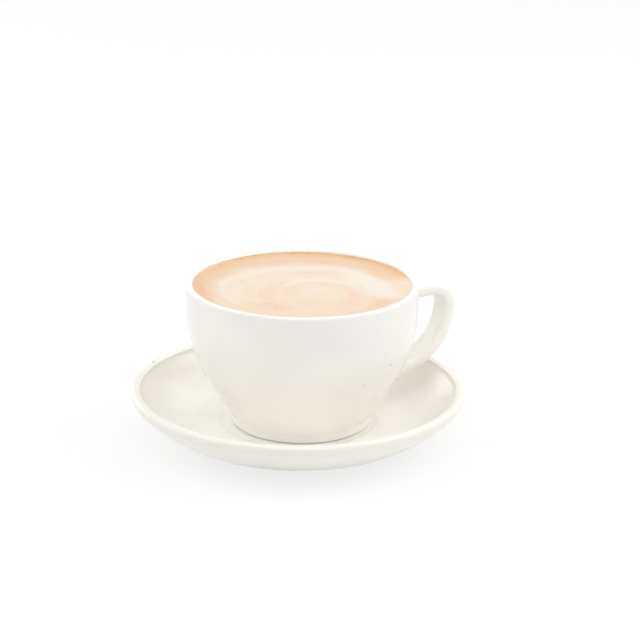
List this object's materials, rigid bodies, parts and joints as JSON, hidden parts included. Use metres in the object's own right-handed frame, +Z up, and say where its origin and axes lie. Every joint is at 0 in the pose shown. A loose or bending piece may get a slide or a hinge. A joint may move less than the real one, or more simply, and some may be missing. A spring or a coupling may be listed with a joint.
{
  "type": "chai latte",
  "caption": "Milky spiced tea filling a white handled cup that stands in the well of a deep round saucer.",
  "frame": {"origin": "on the table, under the centre of the saucer's foot ring", "axes": "+Z up; +X from the cup's axis towards its handle; the whole mirrors across the XZ plane"},
  "size_m": [0.1614, 0.16, 0.0775],
  "materials": {
    "saucer_glaze": "glossy warm white glaze over stoneware",
    "cup_glaze": "glossy warm white glaze over stoneware",
    "drink": "wet milky tea with a thin swirled foam"
  },
  "bodies": {
    "root": {"saucer": "saucer_glaze", "cup": "cup_glaze", "latte": "drink"}
  },
  "joints": []
}
